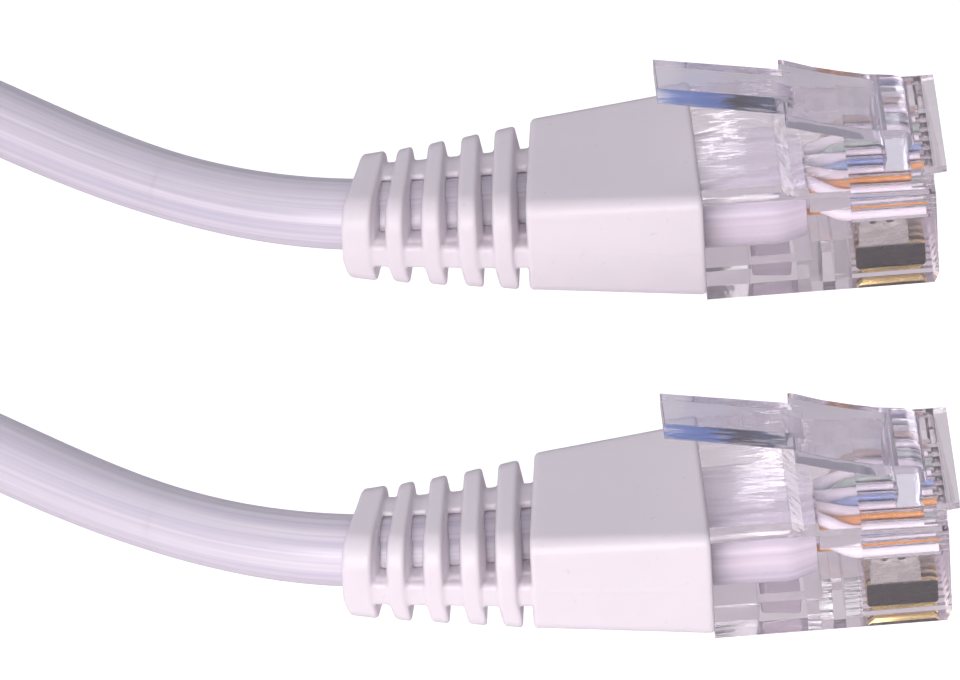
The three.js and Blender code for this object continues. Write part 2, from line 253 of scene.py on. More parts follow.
def rod(x0, x1, y, z, radius, n=20):
    turns = 2 * np.pi * (np.arange(n) + 0.5) / n
    v = [(x, y + radius * math.cos(t), z + radius * math.sin(t)) for x in (x0, x1) for t in turns]
    f = [tuple(range(n - 1, -1, -1)), tuple(range(n, 2 * n))]
    f += [(i, (i + 1) % n, (i + 1) % n + n, i + n) for i in range(n)]
    return v, f


def solid(shape, name="tmp"):
    o = make(name, *shape, smooth=False)
    with editing(o) as bm:
        bmesh.ops.recalc_face_normals(bm, faces=bm.faces)
    return o


def boolean(target, shape, operation="DIFFERENCE"):
    cutter = solid(shape, "cutter")
    m = target.modifiers.new("b", "BOOLEAN")
    m.operation, m.object, m.solver = operation, cutter, "EXACT"
    apply_mods(target)
    discard(cutter)


def bevel(o, width, angle=35):
    m = o.modifiers.new("bev", "BEVEL")
    m.width, m.segments = width * MM, 2
    m.limit_method, m.angle_limit = "ANGLE", math.radians(angle)
    m.use_clamp_overlap = True
    m.miter_outer = "MITER_ARC"
    apply_mods(o)


def finish_shape(o, material):
    shade_smooth(o)
    sharpen(o, 40)
    m = o.modifiers.new("wn", "WEIGHTED_NORMAL")
    m.mode, m.weight, m.keep_sharp = "FACE_AREA", 85, True
    apply_mods(o)
    set_materials(o, [material])
    return o


def circle(n, radius):
    t = 2 * np.pi * np.arange(n) / n
    return np.stack([radius * np.cos(t), radius * np.sin(t)], 1)


def tube(name, centres, headings, outer, inner=None, mats=(), v=None):
    """closed tube of sections outer[i] (n, 2) in (left, up), with an optional bore inner[i];
    u runs once round it and v[i] is the UV height of section i"""
    count, sides = len(centres), outer.shape[1]
    left, up = (axis[:, None] for axis in frames(headings))
    if v is None:
        v = np.arange(count)
    faces, uvs = [], []

    def ring_points(section):
        return (centres[:, None] + left * section[..., :1] + up * section[..., 1:]).reshape(-1, 3)

    def add(corners, flip):
        """one face from (vertex, u, v) corners"""
        if flip:
            corners = corners[::-1]
        faces.append([c[0] for c in corners])
        uvs.extend([c[1:] for c in corners])

    def skin(start, n, flip):
        for i in range(count - 1):
            near, far = start + i * n, start + (i + 1) * n
            for j in range(n):
                k = (j + 1) % n
                add([(near + j, j / n, v[i]), (near + k, (j + 1) / n, v[i]),
                     (far + k, (j + 1) / n, v[i + 1]), (far + j, j / n, v[i + 1])], flip)

    verts = [ring_points(outer)]
    skin(0, sides, False)
    if inner is not None:
        verts.append(ring_points(inner))
        skin(count * sides, inner.shape[1], True)
    for i, flip in ((0, True), (count - 1, False)):
        rim = i * sides
        if inner is None:
            add([(rim + j, 0.5, v[i]) for j in range(sides)], flip)
            continue
        bore = count * sides + i * inner.shape[1]
        for j in range(sides):
            k = (j + 1) % sides
            u0, u1 = j / sides, (j + 1) / sides
            add([(rim + j, u0, v[i]), (rim + k, u1, v[i]),
                 (bore + k, u1, v[i]), (bore + j, u0, v[i])], flip)
    o = make(name, np.concatenate(verts), faces, uvs, mats)
    with editing(o) as bm:
        turn_outwards(bm)
    sharpen(o, 50)
    return o


# ------------------------------------------------------------------ distance fields
def surface_nets(field, low, high, cell, rounds=4):
    """closed quad mesh of field = 0 (inside < 0), its vertices then moved onto the surface"""
    low, high = np.asarray(low, float), np.asarray(high, float)
    count = np.ceil((high - low) / cell).astype(int) + 1
    axes = [low[i] + cell * np.arange(count[i]) for i in range(3)]
    grid = np.stack(np.meshgrid(*axes, indexing="ij"), -1)
    values = field(grid.reshape(-1, 3)).reshape(count)
    inside = values < 0

    # one vertex in each cell the surface passes through
    side = [slice(None, -1), slice(1, None)]
    corners = list(product((0, 1), repeat=3))
    filled = sum(inside[side[i], side[j], side[k]].astype(np.int8) for i, j, k in corners)
    active = (filled > 0) & (filled < 8)
    index = np.full(active.shape, -1, np.int64)
    cells = np.argwhere(active)
    index[active] = np.arange(len(cells))

    # placed at the mean of the crossings on the cell's edges
    total, crossings = np.zeros((len(cells), 3)), np.zeros(len(cells))
    for start in corners:
        for a in range(3):
            if start[a]:
                continue
            end = tuple(start[i] + (i == a) for i in range(3))
            v0 = values[tuple((cells + start).T)]
            v1 = values[tuple((cells + end).T)]
            cross = (v0 < 0) != (v1 < 0)
            t = np.where(cross, v0 / np.where(cross, v0 - v1, 1), 0)
            point = np.array(start, float) + t[:, None] * np.eye(3)[a]
            total[cross] += point[cross]
            crossings[cross] += 1
    verts = low + cells * cell + total / crossings[:, None] * cell

    # one quad round each grid edge the surface crosses
    quads = []
    steps = np.eye(3, dtype=int)
    for a in range(3):
        b, c = (a + 1) % 3, (a + 2) % 3
        before, after = [slice(None)] * 3, [slice(None)] * 3
        before[a], after[a] = side
        starts_inside = inside[tuple(before)]
        e = np.argwhere(starts_inside != inside[tuple(after)])
        e = e[(e[:, b] > 0) & (e[:, c] > 0) & (e[:, b] < count[b] - 1) & (e[:, c] < count[c] - 1)]
        around = (e - steps[b] - steps[c], e - steps[c], e, e - steps[b])
        quad = np.stack([index[tuple(p.T)] for p in around], 1)
        flip = ~starts_inside[tuple(e.T)]
        quad[flip] = quad[flip][:, ::-1]
        quads.append(quad)

    nudge = cell * 0.15 * np.eye(3)
    for _ in range(rounds):
        distance = field(verts)
        slope = np.stack([field(verts + d) - field(verts - d) for d in nudge], 1)
        slope = slope / (2 * cell * 0.15)
        steepness = np.maximum((slope ** 2).sum(1), 0.2)
        verts = verts - np.clip(distance / steepness, -cell, cell)[:, None] * slope
    return verts, np.concatenate(quads)


def corner(x, y):
    """distance to the quarter plane x < 0, y < 0"""
    return np.hypot(np.maximum(x, 0), np.maximum(y, 0)) + np.minimum(np.maximum(x, y), 0)


def rounded_rect(q, b, width, height, radius):
    """distance to a rounded rectangle centred on the origin"""
    return corner(np.abs(q) - (width / 2 - radius), np.abs(b) - (height / 2 - radius)) - radius


def rounded_meet(d1, d2, radius):
    """the overlap of two fields, with rounded edges"""
    return corner(d1 + radius, d2 + radius) - radius


def prism(section, s, s0, s1, radius):
    """the solid with this section between s0 and s1, its end edges rounded"""
    return rounded_meet(section, np.abs(s - (s0 + s1) / 2) - (s1 - s0) / 2, radius)


def smooth_min(a, b, k):
    h = np.clip(0.5 + 0.5 * (b - a) / k, 0, 1)
    return b + (a - b) * h - k * h * (1 - h)


def smooth_max(a, b, k):
    return -smooth_min(-a, -b, k)


# ------------------------------------------------------------------ shader helpers
class Nodes:
    """short calls for building the node tree of a material or world"""

    def __init__(self, owner, output="ShaderNodeOutputMaterial"):
        self.owner = owner
        owner.use_nodes = True
        self.tree = owner.node_tree
        self.tree.nodes.clear()
        self.output = self.tree.nodes.new(output)

    def n(self, kind, inputs=None, **props):
        node = self.tree.nodes.new(kind)
        for key, value in props.items():
            setattr(node, key, value)
        for key, value in (inputs or {}).items():
            self.set(node, key, value)
        return node

    def set(self, node, key, value):
        socket = node.inputs[key]
        if isinstance(value, bpy.types.Node):
            value = value.outputs[0]
        if isinstance(value, bpy.types.NodeSocket):
            self.tree.links.new(value, socket)
        else:
            socket.default_value = value

    def math(self, op, a, b=0.0, clamp=False):
        return self.n("ShaderNodeMath", {0: a, 1: b}, operation=op, use_clamp=clamp).outputs[0]

    def add(self, a, b):
        return self.math("ADD", a, b)

    def mul(self, a, b):
        return self.math("MULTIPLY", a, b)

    def mix(self, factor, a, b):
        node = self.n("ShaderNodeMix", data_type="RGBA")
        for key, value in ((0, factor), (6, a), (7, b)):
            self.set(node, key, value)
        return node.outputs[2]

    def mix_shader(self, factor, a, b):
        return self.n("ShaderNodeMixShader", {0: factor, 1: a, 2: b})

    def coords(self, kind="Object"):
        return self.n("ShaderNodeTexCoord").outputs[kind]

    def split(self, vector):
        return self.n("ShaderNodeSeparateXYZ", {0: vector}).outputs

    def noise(self, vector, scale=1.0, detail=3.0, rough=0.5, stretch=None):
        """noise of the vector, first scaled per axis by stretch"""
        if stretch:
            vector = self.n("ShaderNodeMapping", {"Vector": vector, "Scale": stretch})
        return self.n("ShaderNodeTexNoise", {"Vector": vector, "Scale": scale,
                                             "Detail": detail, "Roughness": rough}).outputs[0]

    def ramp(self, value, span, to=(0.0, 1.0)):
        """map the span linearly to another, clamped"""
        return self.n("ShaderNodeMapRange",
                      {0: value, 1: span[0], 2: span[1], 3: to[0], 4: to[1]}).outputs[0]

    def colour_ramp(self, value, first, last, stops):
        """colours at both ends, and at the (position, rgb) stops between"""
        node = self.n("ShaderNodeValToRGB", {0: value})
        elements = node.color_ramp.elements
        elements[0].color, elements[-1].color = (*first, 1), (*last, 1)
        for position, colour in stops:
            elements.new(position).color = (*colour, 1)
        return node.outputs[0]

    def bump(self, height, strength, distance):
        return self.n("ShaderNodeBump", {"Height": height, "Strength": strength,
                                         "Distance": distance}).outputs[0]

    def principled(self, inputs):
        return self.surface(self.n("ShaderNodeBsdfPrincipled", inputs))

    def surface(self, shader):
        self.tree.links.new(shader.outputs[0], self.output.inputs[0])
        return self.owner


def material(name):
    return Nodes(bpy.data.materials.new(name))


def rgb(*channels):
    """sRGB 0-255 to linear"""
    scaled = (c / 255 for c in channels)
    return (*(c / 12.92 if c <= 0.04045 else ((c + 0.055) / 1.055) ** 2.4 for c in scaled), 1.0)


# ------------------------------------------------------------------ materials
def clear_plastic(name, tint, rough, milk):
    """glass with flow waves and scuffs; milk is its share of soft white"""
    k = material(name)
    co = k.coords()
    wave = k.noise(co, detail=3, rough=0.55, stretch=(120, 500, 500))
    fine = k.noise(co, scale=2600, detail=2, rough=0.5)
    scuff = k.ramp(k.noise(co, scale=900, detail=4, rough=0.65), span=(0.6, 0.8))
    bump = k.bump(k.add(k.mul(wave, 1.0), k.mul(fine, 0.08)), strength=0.25, distance=0.00006)
    glass = k.n("ShaderNodeBsdfGlass", {"Color": tint, "IOR": 1.57, "Normal": bump,
                                        "Roughness": k.add(rough, k.mul(scuff, 0.08))})
    gloss = k.n("ShaderNodeBsdfGlossy", {"Color": (1, 1, 1, 1), "Roughness": 0.12, "Normal": bump})
    haze = k.n("ShaderNodeBsdfTranslucent", {"Color": rgb(225, 217, 226)})
    diffuse = k.n("ShaderNodeBsdfDiffuse", {"Color": rgb(214, 206, 216)})
    body = k.mix_shader(milk, glass, k.mix_shader(0.5, haze, diffuse))
    body = k.mix_shader(0.03, body, gloss)
    # shadow rays pass, so that light reaches what is inside
    shadow = k.n("ShaderNodeLightPath").outputs["Is Shadow Ray"]
    clear = k.n("ShaderNodeBsdfTransparent", {"Color": (0.86, 0.84, 0.87, 1)})
    return k.surface(k.mix_shader(shadow, body, clear))


def boot_plastic():
    k = material("boot_pvc")
    co = k.coords()
    cloud = k.noise(co, scale=90, detail=4, rough=0.6)
    speck = k.ramp(k.noise(co, scale=1500, detail=2, rough=0.7), span=(0.68, 0.76))
    grain = k.noise(co, scale=3800, detail=3, rough=0.6)
    peel = k.noise(co, scale=700, detail=2, rough=0.5)
    colour = k.mix(cloud, rgb(218, 212, 219), rgb(229, 222, 227))
    colour = k.mix(k.mul(speck, 0.25), colour, rgb(186, 178, 190))
    height = k.add(k.mul(grain, 0.5), k.mul(peel, 0.7))
    return k.principled({
        "Base Color": colour, "Roughness": k.ramp(cloud, span=(0.3, 0.7), to=(0.40, 0.52)),
        "IOR": 1.52, "Normal": k.bump(height, strength=0.22, distance=0.00005),
        "Subsurface Weight": 0.35, "Subsurface Scale": 0.0008,
        "Subsurface Radius": (1.0, 0.85, 0.9)})


def jacket_pvc():
    """u runs once round the cable, v along it in units of 100 mm"""
    k = material("jacket_pvc")
    u, v, _ = k.split(k.n("ShaderNodeUVMap", uv_map="UVMap"))
    angle = k.mul(u, 2 * math.pi)
    around = {0: k.math("COSINE", angle), 1: k.math("SINE", angle), 2: v}
    co = k.n("ShaderNodeCombineXYZ", around).outputs[0]
    streak = k.noise(co, detail=4, rough=0.62, stretch=(7, 7, 1.3))
    broad = k.noise(co, detail=3, rough=0.5, stretch=(2.2, 2.2, 2.6))
    fine = k.noise(co, detail=3, rough=0.6, stretch=(30, 30, 40))
    # the pairs show faintly as four spiral swellings, one turn per four times 24 mm
    turns = k.mul(v, 2 * math.pi * 100 / 24.0)
    spiral = k.math("SINE", k.add(k.mul(angle, 4.0), turns))
    colour = k.mix(k.ramp(streak, span=(0.35, 0.65)), rgb(196, 190, 203), rgb(224, 217, 225))
    colour = k.mix(k.ramp(broad, span=(0.35, 0.7), to=(0, 0.4)), colour, rgb(188, 186, 206))
    height = k.add(k.mul(spiral, 0.25), k.add(k.mul(streak, 0.45), k.mul(fine, 0.15)))
    return k.principled({
        "Base Color": colour, "Roughness": k.ramp(streak, span=(0.3, 0.7), to=(0.30, 0.42)),
        "IOR": 1.53, "Normal": k.bump(height, strength=0.25, distance=0.00006),
        "Subsurface Weight": 0.3, "Subsurface Scale": 0.0007,
        "Subsurface Radius": (0.9, 0.85, 1.0), "Coat Weight": 0.12, "Coat Roughness": 0.25})


def gold():
    k = material("contact_gold")
    co = k.coords()
    brushed = k.noise(co, detail=3, rough=0.6, stretch=(700, 4000, 2500))
    worn = k.ramp(k.noise(co, scale=1300, detail=3, rough=0.6), span=(0.55, 0.75))
    return k.principled({
        "Base Color": k.mix(worn, (0.83, 0.60, 0.22, 1), (0.78, 0.63, 0.36, 1)), "Metallic": 1.0,
        "Roughness": k.ramp(brushed, span=(0.3, 0.7), to=(0.16, 0.30)),
        "Normal": k.bump(brushed, strength=0.12, distance=0.00002)})


def contact_sides():
    """by height: gold along the lower edge, painted shade (near-black metal) above it, pale above
    the shoulders
    """
    k = material("contact_nickel_and_painted_shade")
    co = k.coords()
    brushed = k.noise(co, detail=3, rough=0.6, stretch=(900, 900, 3000))
    z = k.split(co)[2]
    # painted shade: the blade's sides above the gold edge are coloured near-black to stand in for
    # the dark they show
    painted_shade = k.mix(brushed, (0.006, 0.006, 0.004, 1), (0.018, 0.016, 0.011, 1))
    pale = k.mix(brushed, (0.55, 0.53, 0.48, 1), (0.85, 0.83, 0.78, 1))
    colour = k.mix(k.ramp(z, span=(-0.00175, -0.00155)), painted_shade, pale)
    colour = k.mix(k.ramp(z, span=(-0.00338, -0.00344)), colour, (0.86, 0.66, 0.24, 1))
    return k.principled({
        "Base Color": colour, "Metallic": 1.0,
        "Roughness": k.ramp(brushed, span=(0.3, 0.7), to=(0.2, 0.34)),
        "Normal": k.bump(brushed, strength=0.12, distance=0.00002)})


def copper():
    k = material("copper_core")
    mottle = k.noise(k.coords(), scale=2500, detail=3, rough=0.6)
    return k.principled({
        "Base Color": k.mix(mottle, (0.72, 0.34, 0.18, 1), (0.85, 0.47, 0.28, 1)),
        "Metallic": 1.0, "Roughness": 0.28,
        "Normal": k.bump(mottle, strength=0.2, distance=0.00002)})


PAIR_COLOUR = {"orange": rgb(232, 156, 74), "green": rgb(166, 180, 176),
               "blue": rgb(142, 160, 208), "brown": rgb(178, 156, 148)}
WIRE_WHITE = rgb(240, 234, 242)


def wire_insulation(name):
    k = material("insulation_" + name)
    mottle = k.noise(k.coords(), scale=1200, detail=3, rough=0.5)
    main = PAIR_COLOUR[name.split("_")[-1]]
    if name.startswith("white_"):
        # one lengthwise stripe of the pair's colour on white
        u = k.split(k.n("ShaderNodeUVMap", uv_map="UVMap"))[0]
        offset = k.math("SUBTRACT", k.math("FRACT", k.add(u, 0.12)), 0.5)
        stripe = k.ramp(k.math("ABSOLUTE", offset), span=(0.055, 0.075), to=(1.0, 0.0))
        colour = k.mix(stripe, WIRE_WHITE, main)
    else:
        lighter = tuple(min(1, c * 1.35) for c in main[:3]) + (1,)
        colour = k.mix(k.mul(mottle, 0.3), main, lighter)
    return k.principled({
        "Base Color": colour, "Roughness": k.ramp(mottle, span=(0.3, 0.7), to=(0.26, 0.4)),
        "IOR": 1.5, "Normal": k.bump(mottle, strength=0.15, distance=0.00004),
        "Subsurface Weight": 0.15, "Subsurface Scale": 0.0004})


M_CLEAR = clear_plastic("clear_polycarbonate", (0.975, 0.962, 0.972, 1), rough=0.02, milk=0.028)
M_LATCH = clear_plastic("clear_latch", (0.93, 0.925, 0.95, 1), rough=0.015, milk=0.03)
M_CLAMP = clear_plastic("clear_clamp", (0.97, 0.95, 0.965, 1), rough=0.10, milk=0.45)
M_BOOT = boot_plastic()
M_JACKET = jacket_pvc()
M_GOLD = gold()
M_SIDE = contact_sides()
M_COPPER = copper()
M_WIRE = {w: wire_insulation(w) for w in WIRES}


# ------------------------------------------------------------------ plug housing
# boxes: x0, x1, z0, z1, width; profiles: (x, z) points
BODY_BOX = (-15.1, 0, -4.05, 4.05, 11.68)
TAIL_BOX = (-20.7, -14.6, -2.75, 3.2, 9.5)
TOP_CUT = [(-9.9, 4.06), (-9.1, 3.38), (0.5, 2.96), (0.5, 6), (-9.9, 6)]
NOSE_LIP = [(-1.5, 2.5), (-0.03, 2.5), (-0.03, 4.05), (0.8, 4.15), (0.8, 4.6), (-1.5, 4.6)]
NOSE_LIP_WIDTH = 10.2
NOSE_CHAMFER = [(-0.75, -5), (1, -5), (1, -3.2), (0, -3.3)]
CABLE_HOLLOW = (-21.7, -8.15, -2.2, 2.75, 8.4)
WIRE_HOLLOW = (-8.65, -5.45, -0.75, 1.6, 8.3)
LANE_BORE_X, LANE_BORE_RADIUS = (-5.9, -0.4), 0.5
BLADE_SLOT = (-5.6, 1, -5, 0.55, 0.44)
CLAMP_POCKET, CLAMP_POCKET_WIDTH = [(-12.3, -5), (-9.1, -5), (-9.1, -2.0), (-12.0, -2.0)], 6.6
CROSS_SLOT = (-7.5, -6.7, -5, -1.7, 8.2)
THROUGH = 14                                        # wider than the plug


def housing_shape():
    o = solid(box(*BODY_BOX))
    boolean(o, box(*TAIL_BOX), "UNION")
    boolean(o, slab(TOP_CUT, THROUGH))
    boolean(o, slab(NOSE_LIP, NOSE_LIP_WIDTH), "UNION")
    boolean(o, slab(NOSE_CHAMFER, THROUGH))
    boolean(o, box(*CABLE_HOLLOW))
    boolean(o, box(*WIRE_HOLLOW))
    for y in LANE_Y:
        boolean(o, rod(*LANE_BORE_X, y, ROW_Z, LANE_BORE_RADIUS))
        boolean(o, box(*BLADE_SLOT, y))
    boolean(o, slab(CLAMP_POCKET, CLAMP_POCKET_WIDTH))
    boolean(o, box(*CROSS_SLOT))
    bevel(o, 0.13)
    return finish_shape(o, M_CLEAR)


HOUSING = housing_shape()


# ------------------------------------------------------------------ latch
def curve(points, n=4):
    """smooth polyline through points (Catmull-Rom), n steps to a span"""
    p = np.array(points, float)
    p = np.vstack([2 * p[0] - p[1], p, 2 * p[-1] - p[-2]])
    out = []
    for a, b, c, d in zip(p, p[1:], p[2:], p[3:]):
        for t in np.linspace(0, 1, n, endpoint=False):
            out.append(0.5 * ((2 * b) + (-a + c) * t + (2 * a - 5 * b + 4 * c - d) * t * t
                              + (-a + 3 * b - 3 * c + d) * t ** 3))
    out.append(p[-2])
    return [tuple(q) for q in out]


# (x, z) outline of the wide plate and the bend that roots it at the nose
PLATE_UNDER = [(-9.35, 7.2), (-7.2, 6.5), (-5.3, 5.96), (-3.9, 5.6)]
BEND_REAR = [(-3.3, 5.3), (-3.0, 4.9), (-2.95, 4.1), (-3.15, 3.15)]
ROOT_FRONT = [(-1.56, 3.09), (-1.56, 4.6)]
BEND_FRONT = [(-1.42, 4.75), (-1.12, 5.1), (-1.1, 5.5), (-1.35, 5.95), (-2.0, 6.25)]
PLATE_TOP = [(-3.7, 6.47), (-5.3, 6.86), (-7.2, 7.4), (-9.1, 8.13), (-9.35, 8.13)]
PLATE_WIDTH = 6.23
# the narrower tab behind the plate
TAB = [(-17.5, 8.8), (-9.6, 7.2), (-8.6, 6.98), (-8.6, 8.1), (-9.6, 8.5), (-17.5, 10.0)]
TAB_WIDTH = 3.25


def latch_shape():
    outline = PLATE_UNDER + curve(BEND_REAR) + ROOT_FRONT + curve(BEND_FRONT) + PLATE_TOP
    o = solid(slab(outline, PLATE_WIDTH))
    boolean(o, slab(TAB, TAB_WIDTH), "UNION")
    bevel(o, 0.12)
    return finish_shape(o, M_LATCH)


LATCH = latch_shape()

# ------------------------------------------------------------------ contacts
# (x, z) outline: chamfered lower edge, shoulders, three teeth up into the wire
BLADE = [
    (-5.3, -3.3), (-4.85, -3.75), (-1.2, -3.75), (-0.76, -3.3), (-0.76, -1.75), (-1.15, -1.6),
    (-1.8, -1.6), (-1.85, -0.2), (-2.05, 0.45), (-2.35, 0.95), (-2.62, 0.4), (-2.85, 0.1),
    (-3.15, 0.1), (-3.32, 0.45), (-3.55, 0.95), (-3.78, 0.45), (-3.95, 0.1), (-4.2, 0.1),
    (-4.4, 0.4), (-4.62, 0.95), (-4.9, 0.45), (-5.02, -0.2), (-5.05, -1.6), (-5.3, -1.75),
]
BLADE_WIDTH = 0.35
GOLD_TOP_Z = -3.15      # all faces below this are gold
RIM_TOP_Z = -1.2        # and, below this, those that don't face sideways


def contact_shape():
    o = solid(slab(BLADE, BLADE_WIDTH))
    bevel(o, 0.05, angle=30)
    slots = []
    for p in o.data.polygons:
        z = p.center.z / MM
        plated = (z < GOLD_TOP_Z or abs(p.normal.y) < 0.5) and z < RIM_TOP_Z
        slots.append(0 if plated else 1)
    o.data.polygons.foreach_set("material_index", np.array(slots, np.int32))
    shade_smooth(o)
    sharpen(o, 40)
    o.data.materials.append(M_GOLD)
    o.data.materials.append(M_SIDE)
    return o


CONTACT = contact_shape()

# ------------------------------------------------------------------ conductors of one plug
# in the cable, one wire lies in the centre and seven round it, as (y, z) from the centre
RING_RADIUS = 1.12
RING_ANGLES = [math.radians(107.143 + 360 * k / 7) for k in range(7)]
RING = [(RING_RADIUS * math.cos(a), RING_RADIUS * math.sin(a)) for a in RING_ANGLES]
BUNDLE = [RING[1], RING[2], RING[0], RING[3], (0, 0), RING[4], RING[6], RING[5]]
FRONT_X = [-0.62, -0.5, -0.7, -0.55, -0.6, -0.5, -0.66, -0.58]
FAN_FRONT_X, FAN_REAR_X = -5.6, -8.8                # lanes narrow to two staggered rows
GATHER_LENGTH = 4.4                                 # rows gather into the bundle
MOUTH_PITCH, MOUTH_RISE = 0.5, 0.55
WIRE_RADIUS, BUNDLED_RADIUS = 0.46, 0.40
COPPER_RADIUS = 0.25


def conductor(i):
    row = np.array([LANE_Y[i], ROW_Z])
    rise = -MOUTH_RISE if i % 2 else MOUTH_RISE
    mouth = np.array([(i - 3.5) * MOUTH_PITCH, CABLE_Z + rise])
    y, z = BUNDLE[i]
    bundled = np.array([y, CABLE_Z + z])
    stations = np.concatenate([[FRONT_X[i]], np.linspace(-1.2, -5.4, 6),
                               np.linspace(-5.8, -8.9, 12), np.linspace(-9.4, -13.2, 10),
                               [-18.0, BLOCK_REAR_X]])
    points, headings, radii = [], [], []
    for x in stations:
        radius = WIRE_RADIUS
        if x > FAN_FRONT_X:
            place_yz = row
        elif x > FAN_REAR_X:
            t = (FAN_FRONT_X - x) / (FAN_FRONT_X - FAN_REAR_X)
            place_yz = lerp(row, mouth, smoothstep(t))
        else:
            t = min(1.0, (FAN_REAR_X - x) / GATHER_LENGTH)
            place_yz = lerp(mouth, bundled, t)
            radius = lerp(WIRE_RADIUS, BUNDLED_RADIUS, min(1, t * 2))
        points.append((x, *place_yz))
        headings.append(math.pi)
        radii.append(radius)
    # on along the bending cable
    for s in (2, 4, 6, 8, 10, 12, 13.2):
        points.append(tuple(along(s, -y, bundled[1] - CABLE_Z)[0]))
        headings.append(float(at(s)[1][0]))
        radii.append(BUNDLED_RADIUS)
    points = np.array(points)
    sections = np.stack([circle(14, r) for r in radii])
    spans = np.linalg.norm(np.diff(points, axis=0), axis=1)
    length = np.concatenate([[0], np.cumsum(spans)])
    wire = tube(f"tmp_wire_{i}", points, np.array(headings), sections,
                mats=[M_WIRE[WIRES[i]]], v=length * 0.01)
    # a short copper core, its tip just behind the cut end
    core = tube(f"tmp_core_{i}", np.array([(FRONT_X[i] + d, *row) for d in (0.02, -1.0)]),
                np.array([math.pi, math.pi]), np.stack([circle(12, COPPER_RADIUS)] * 2),
                mats=[M_COPPER])
    return join(wire, core)


# ------------------------------------------------------------------ boot
BLOCK_LENGTH = 10.9
RIB_TOP_RADIUS, RIB_UNDER_RADIUS = 1.9, 1.15
# width over the spines: distance s, width before SPINE_INSET
SPINE_S, SPINE_WIDTH, SPINE_INSET = [0.8, 3.8, 6.0, 8.2, 10.6], [r[2] for r in RIBS], 0.28
SKEW = math.tan(math.radians(6.0))
NO_SOLID = 9.0                                      # a distance beyond any used here


def boot_block(s, q, b, skew):
    f = np.clip(-s / BLOCK_LENGTH, 0, 1.2)
    section = rounded_rect(q, b, lerp(10.4, 13.0, f), lerp(7.0, 7.8, f), lerp(1.0, 0.8, f))
    # a slightly raised line along each side
    section = section - 0.035 * np.exp(-((b + 0.15) / 0.09) ** 2) * (np.abs(q) > 3)
    return prism(section, s + skew * smoothstep((s + 6) / 5), -BLOCK_LENGTH, 0.0, 0.32)


def boot_sleeve(s, q, b):
    """sleeve under the grooves, with a spine along each side that ties the ribs together"""
    t = np.clip(s / NECK_LENGTH, 0, 1)
    section = rounded_rect(q, b, lerp(7.4, 6.7, t), lerp(5.7, 5.2, t), 2.0)
    sleeve = prism(section, s, -1.5, NECK_LENGTH - 0.4, 0.2)
    width = np.interp(s, SPINE_S, SPINE_WIDTH) - SPINE_INSET
    spine = prism(rounded_rect(q, b + 0.63, width, 1.70, 0.32), s, -1.5, NECK_LENGTH - 0.6, 0.3)
    return smooth_min(sleeve, spine, 0.2)


def boot_ribs(s, q, b):
    """the ribs, and the windows cut through the sleeve in the grooves; s is skewed"""
    ribs = np.full(len(s), NO_SOLID)
    windows = np.full(len(s), NO_SOLID)
    upper_side = smoothstep((b + 2.4) / 1.6)
    groove_start = 0.0
    for groove, length, rib_width, rib_height in RIBS:
        start = groove_start + groove
        end = start + length
        u = np.clip((s - start) / length, -0.3, 1.3)
        # crowns taper rearwards with the neck; upper corners are rounder than lower ones
        width = rib_width + 0.45 * (0.5 - u)
        half_height = rib_height / 2 + 0.14 * (0.5 - u) + np.where(b > 0, 0.1, -0.1)
        radius = np.where(b > 0, RIB_TOP_RADIUS, RIB_UNDER_RADIUS)
        section = rounded_rect(q, b, width, 2 * half_height, radius)
        # above, the face towards the plug is drafted more than the rear one; below, the reverse
        rise = np.clip((1.6 + section) / 1.6, 0, 1)
        front = start - 0.15 + lerp(0.08, 0.36, upper_side) * rise
        rear = end + 0.05 - lerp(0.42, 0.14, upper_side) * rise
        ends = np.maximum(front - s, s - rear) * 0.95
        ribs = np.minimum(ribs, rounded_meet(section, ends, 0.2))
        gap = np.abs(s - (groove_start + groove / 2)) - (groove / 2 + 0.02)
        upper = np.maximum(q - 0.4, 0.35 - b)
        lower = np.maximum(-0.4 - q, b + 2.3)
        windows = np.minimum(windows, np.maximum(gap, np.minimum(upper, lower)))
        groove_start = end
    return ribs, windows


def boot_field(p):
    """p in (s, q, b): distance from the block's rear along the cable, towards +Y, and up"""
    s, q, b = p[:, 0], p[:, 1], p[:, 2]
    # the block's rear face and the grooves are skewed, less towards the last rib
    skew = SKEW * (1 - 0.5 * np.clip(s / 11, 0, 1)) * q
    ribs, windows = boot_ribs(s + skew, q, b)
    body = smooth_max(boot_sleeve(s, q, b), -windows, 0.12)
    body = smooth_min(body, ribs, 0.2)
    body = smooth_min(body, boot_block(s, q, b, skew), 0.22)
    # bore for the cable, hollow for the plug's tail
    bore = np.hypot(q, b) - 2.35
    body = smooth_max(body, -np.maximum(bore, -(s + 6.0)), 0.10)
    hollow = np.maximum(rounded_rect(q, b + 0.125, 10.1, 6.35, 0.3), s + 4.8)
    return smooth_max(body, -hollow, 0.08)


def boot_mesh():
    cell = 0.15
    v, quads = surface_nets(boot_field, (-11.3, -6.5, -4.4), (NECK_LENGTH + 0.4, 6.5, 4.4), cell)
    # bent along the cable, where the heading's left is -Y at the plug
    o = make("boot_tmp", along(v[:, 0], -v[:, 1], v[:, 2]), quads, mats=[M_BOOT])
    with editing(o) as bm:
        bmesh.ops.remove_doubles(bm, verts=bm.verts, dist=1e-7)
        turn_outwards(bm)
    shade_smooth(o)
    return o


BOOT = boot_mesh()

# ------------------------------------------------------------------ cable jacket and core
# how far the jacket is squashed inside a plug: distance behind the nose, share
SQUASH_AT, SQUASH = [8.3, 10.0, 15.2, 19.4], [0.55, 1, 0.9, 0]
SQUASHED_HALF, SQUASHED_BORE = (3.95, 2.28), (2.6, 1.6)     # half width, half height


